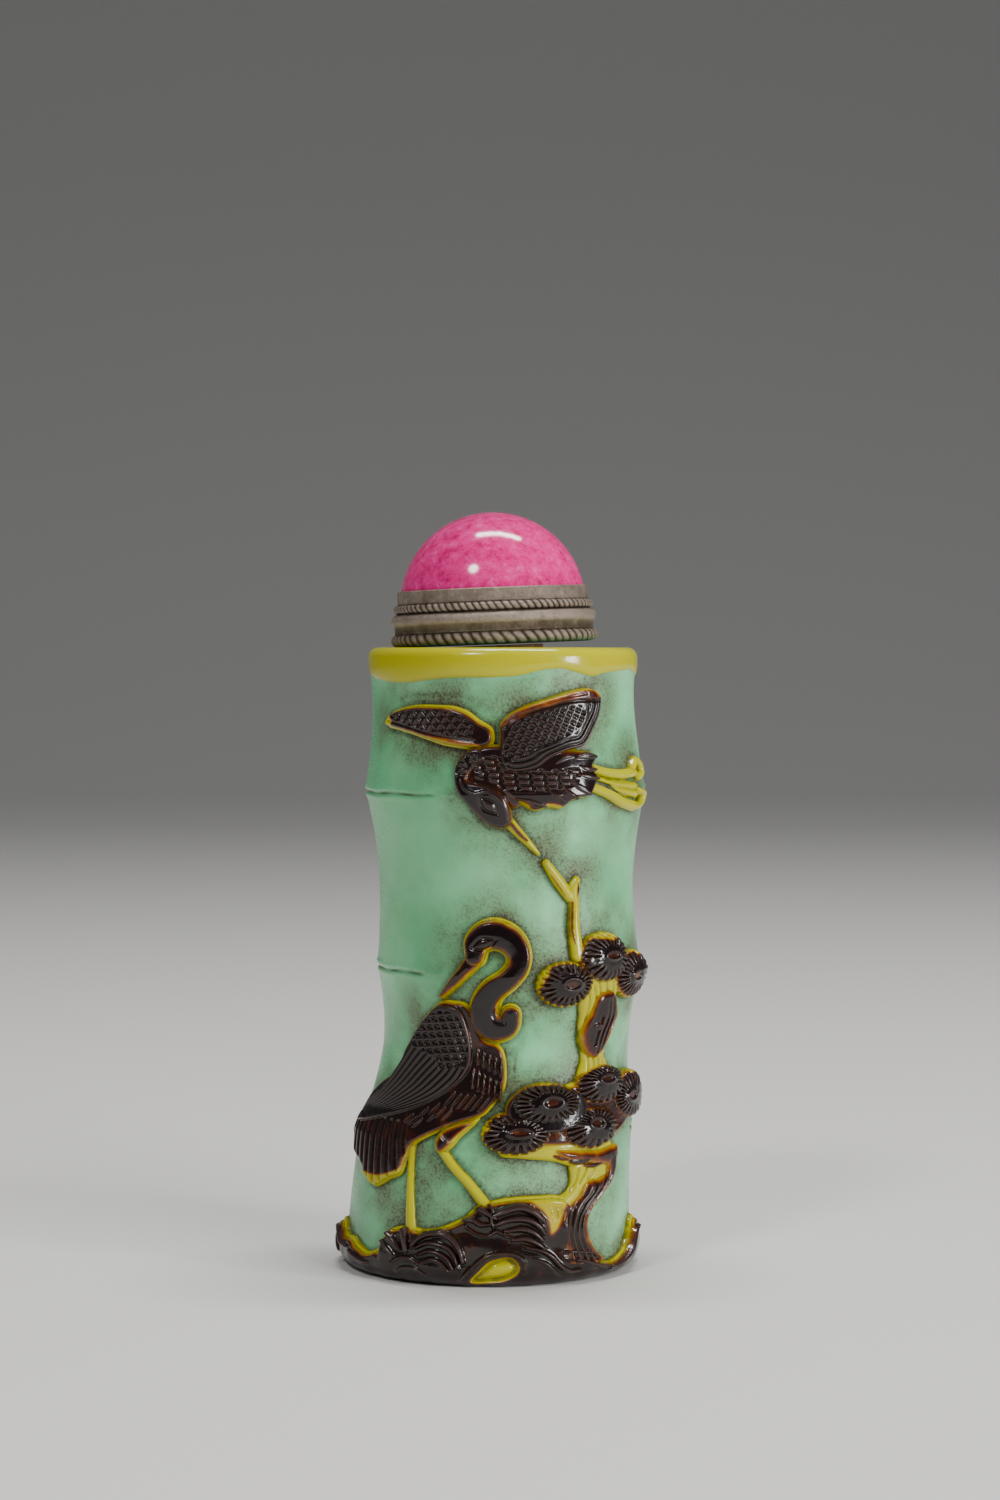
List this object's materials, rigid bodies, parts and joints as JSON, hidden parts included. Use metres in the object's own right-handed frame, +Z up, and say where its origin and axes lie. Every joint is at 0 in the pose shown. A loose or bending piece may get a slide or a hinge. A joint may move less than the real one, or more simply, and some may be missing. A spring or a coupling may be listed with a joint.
{
  "type": "snuff bottle",
  "caption": "Bamboo-shaped overlay glass snuff bottle carved with cranes, pine and rocks, with a domed pink stone stopper in a metal collar.",
  "frame": {"origin": "centre of the flat underside", "axes": "+Z up along the bottle, the carved front faces -Y, +X to the right of the front"},
  "size_m": [0.0323, 0.032, 0.0791],
  "materials": {
    "overlay_glass": "opaque turquoise glass with polished yellow and dark brown overlay",
    "bronze": "aged dark bronze, worn bright on the edges",
    "pink_stone": "polished mottled pink stone",
    "cork": "matt natural cork"
  },
  "bodies": {
    "root": {"bottle": "overlay_glass", "stopper_collar": "bronze", "stopper_stone": "pink_stone", "stopper_cork": "cork"}
  },
  "joints": []
}
